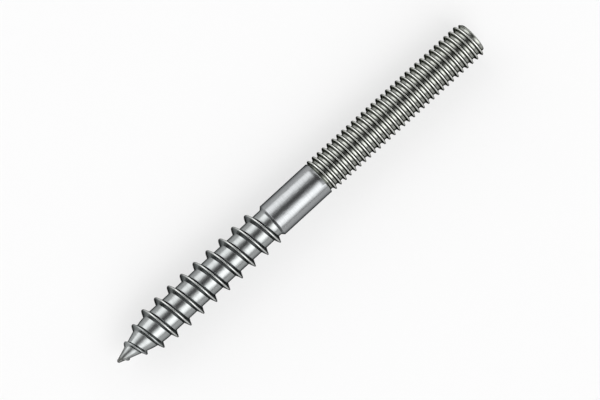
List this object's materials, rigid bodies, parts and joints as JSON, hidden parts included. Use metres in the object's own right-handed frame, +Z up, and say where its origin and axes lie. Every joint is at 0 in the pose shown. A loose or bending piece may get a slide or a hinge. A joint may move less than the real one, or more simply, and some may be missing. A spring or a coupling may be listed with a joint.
{
  "type": "double-ended stud",
  "caption": "Steel stud with a coarse wood-screw thread and gimlet point at one end, a bare shank, and an M6 machine-thread end.",
  "frame": {"origin": "on the surface that the stud lies on, under the middle of its length", "axes": "+X runs along the stud's axis from the gimlet point to the M6 end, +Y is level across it, +Z is up"},
  "size_m": [0.0724, 0.0068, 0.0067],
  "materials": {
    "steel": "bright rolled and turned steel, smooth shank, fine turning lines on the root of the wood thread"
  },
  "bodies": {
    "root": {"stud": "steel"}
  },
  "joints": []
}
